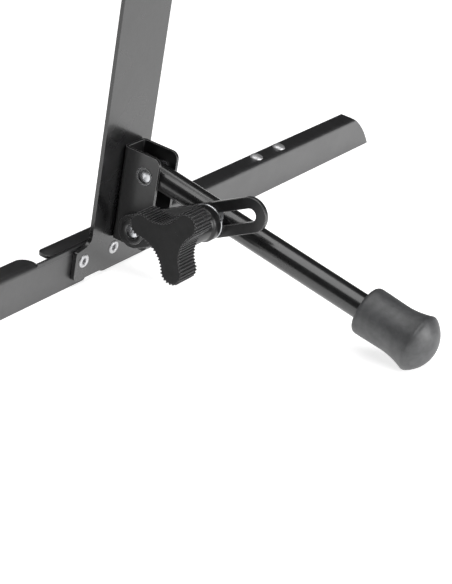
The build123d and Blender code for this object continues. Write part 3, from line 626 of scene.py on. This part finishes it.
def buildFaceTop(f):
    # a strip along X: a section of (behind, up) with rounded top edges, carried from end to end and closed
    e = f["edge"]
    top = f["high"] - e
    section = np.vstack([[(f["back"], f["low"]), (f["back"], top)], arc(f["back"] - e, top, e, 0, 90, 6),
                         arc(f["front"] + e, top, e, 90, 180, 6), [(f["front"], f["low"])]])
    middle = section.mean(0)
    taper, small = f["endTaper"], f["endSize"]
    stops = [(f["from"], small), (f["from"] + taper, 1.0), (f["to"] - taper, 1.0), (f["to"], small)]
    rows = []
    for x, size in stops:
        s = middle + (section - middle) * size
        spread = (np.outer(s[:, 0], behind) + np.outer(s[:, 1], up)) * mm
        rows.append(np.array(deskPoint(x, 0, 0)) + spread)
    poles = np.array([deskPoint(x, *middle) for x in (f["from"], f["to"])])
    return np.vstack(rows + [poles]), cappedFaces(len(rows), len(section))


meshObject("ledge_face_top", *buildFaceTop(faceTop), "ledge_right", ledgeBlack, "black_paint", 50)
print("tongue and face top built")


def faceOutwards():
    # each built piece is a closed shell, so a positive volume means that its faces point outwards;
    # the CAD's own nodes already point the right way and are left alone
    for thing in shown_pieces():
        if "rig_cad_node" in thing:
            continue
        mesh = thing.data
        mesh.calc_loop_triangles()
        corner = np.empty(len(mesh.loop_triangles) * 3, np.int32)
        mesh.loop_triangles.foreach_get("vertices", corner)
        co = np.empty(len(mesh.vertices) * 3)
        mesh.vertices.foreach_get("co", co)
        tri = co.reshape(-1, 3)[corner.reshape(-1, 3)]
        tri = tri - tri.mean((0, 1))
        volume = np.einsum("ij,ij->i", tri[:, 0], np.cross(tri[:, 1], tri[:, 2])).sum() / 6
        if volume < 0:
            mesh.flip_normals()
            print("  turned the faces of", thing.name)


faceOutwards()

# Stage, light and camera
studio = {
    "floorSize": 80.0, "floorColour": (0.86, 0.86, 0.86, 1), "floorGlow": 0.75, "world": 0.04,
    "overhead": {"place": (0.15, -0.03, 1.05), "aim": (0, 0, 0.05), "size": 1.05, "power": 9.4},
    "rightFill": {"place": (-0.20, 1.55, 0.45), "aim": (0, 0.09, 0.02), "size": 0.8, "power": 20.0},
    "leftWall": {"place": (0.85, -1.85, 0.45), "aim": (0, 0, 0.05), "size": 0.9, "power": 1.2},
}
half = studio["floorSize"] / 2
floorMesh = bpy.data.meshes.new("floor")
floorCorners = [(-half, -half, 0), (half, -half, 0), (half, half, 0), (-half, half, 0)]
floorMesh.from_pydata(floorCorners, [], [(0, 1, 2, 3)])
floor = bpy.data.objects.new("floor", floorMesh)
bpy.context.scene.collection.objects.link(floor)
pale = bpy.data.materials.new("paleFloor")
pale.use_nodes = True
sheen = pale.node_tree.nodes["Principled BSDF"]
sheen.inputs["Base Color"].default_value = studio["floorColour"]
sheen.inputs["Roughness"].default_value = 0.9
sheen.inputs["Specular IOR Level"].default_value = 0.1
sheen.inputs["Emission Color"].default_value = (1, 1, 1, 1)
sheen.inputs["Emission Strength"].default_value = studio["floorGlow"]
floorMesh.materials.append(pale)

world = bpy.data.worlds.new("studio")
bpy.context.scene.world = world
world.use_nodes = True
world.node_tree.nodes["Background"].inputs["Color"].default_value = (1, 1, 1, 1)
world.node_tree.nodes["Background"].inputs["Strength"].default_value = studio["world"]


def softbox(name, place, aim, size, power):
    light = bpy.data.lights.new(name, "AREA")
    light.shape = "SQUARE"
    light.size = size
    light.energy = power
    lamp = bpy.data.objects.new(name, light)
    lamp.location = place
    lamp.rotation_euler = (Vector(aim) - Vector(place)).to_track_quat("-Z", "Y").to_euler()
    bpy.context.scene.collection.objects.link(lamp)


for name in ("overhead", "rightFill", "leftWall"):
    softbox(name, **studio[name])

# the photograph's camera: its centre in mm from the desk's origin, and the direction of its axes
view = {
    "centre": (598.565, 407.112, 379.512), "right": (-0.561004, 0.812541, 0.158276),
    "down": (0.308584, 0.382684, -0.870821), "lens": 136.75, "sensor": 36.0, "clip": (0.05, 200),
}


def deskDirection(d):
    return (across * d[0] + behind * d[1] + up * d[2]).normalized()


camera = bpy.data.cameras.new("camera")
camera.sensor_fit = "HORIZONTAL"
camera.sensor_width = view["sensor"]
camera.lens = view["lens"]
camera.clip_start, camera.clip_end = view["clip"]
cameraObject = bpy.data.objects.new("camera", camera)
right = deskDirection(view["right"])
upward = -deskDirection(view["down"])
backward = right.cross(upward)
turn = Matrix((right, upward, backward)).transposed()
cameraObject.matrix_world = Matrix.Translation(deskPoint(*view["centre"])) @ turn.to_4x4()
bpy.context.scene.collection.objects.link(cameraObject)
bpy.context.scene.camera = cameraObject
bpy.context.scene.view_settings.view_transform = "Standard"
print("stage, light and camera set")
